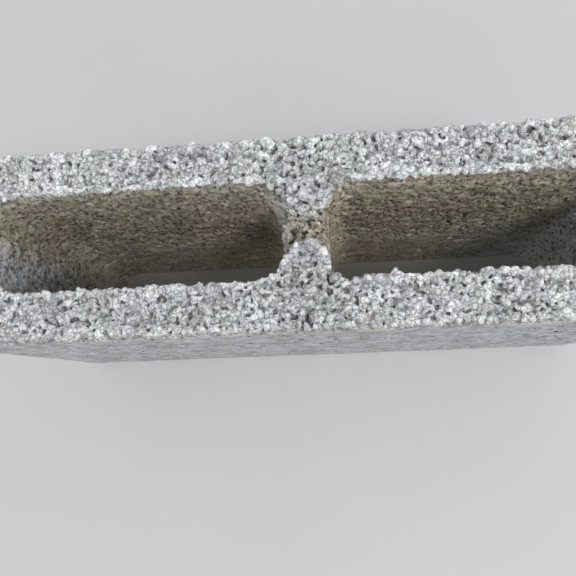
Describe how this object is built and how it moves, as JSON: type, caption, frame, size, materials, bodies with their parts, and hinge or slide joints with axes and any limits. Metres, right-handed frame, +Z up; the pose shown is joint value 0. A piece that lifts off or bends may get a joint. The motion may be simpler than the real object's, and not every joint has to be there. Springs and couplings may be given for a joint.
{
  "type": "hollow concrete block",
  "caption": "Hollow concrete masonry block with tapered oblong cores beside a centre web, saddled webs and shouldered end tongues.",
  "frame": {"origin": "middle of the bottom bed, the face that the block stands on with its cores upright", "axes": "+X along the block's length, +Y through its width, +Z up to the top bed where the cores are widest"},
  "size_m": [0.39, 0.1, 0.19],
  "materials": {
    "concrete": "open-textured grey concrete, rough and matt"
  },
  "bodies": {
    "root": {"concrete_block": "concrete"}
  },
  "joints": []
}
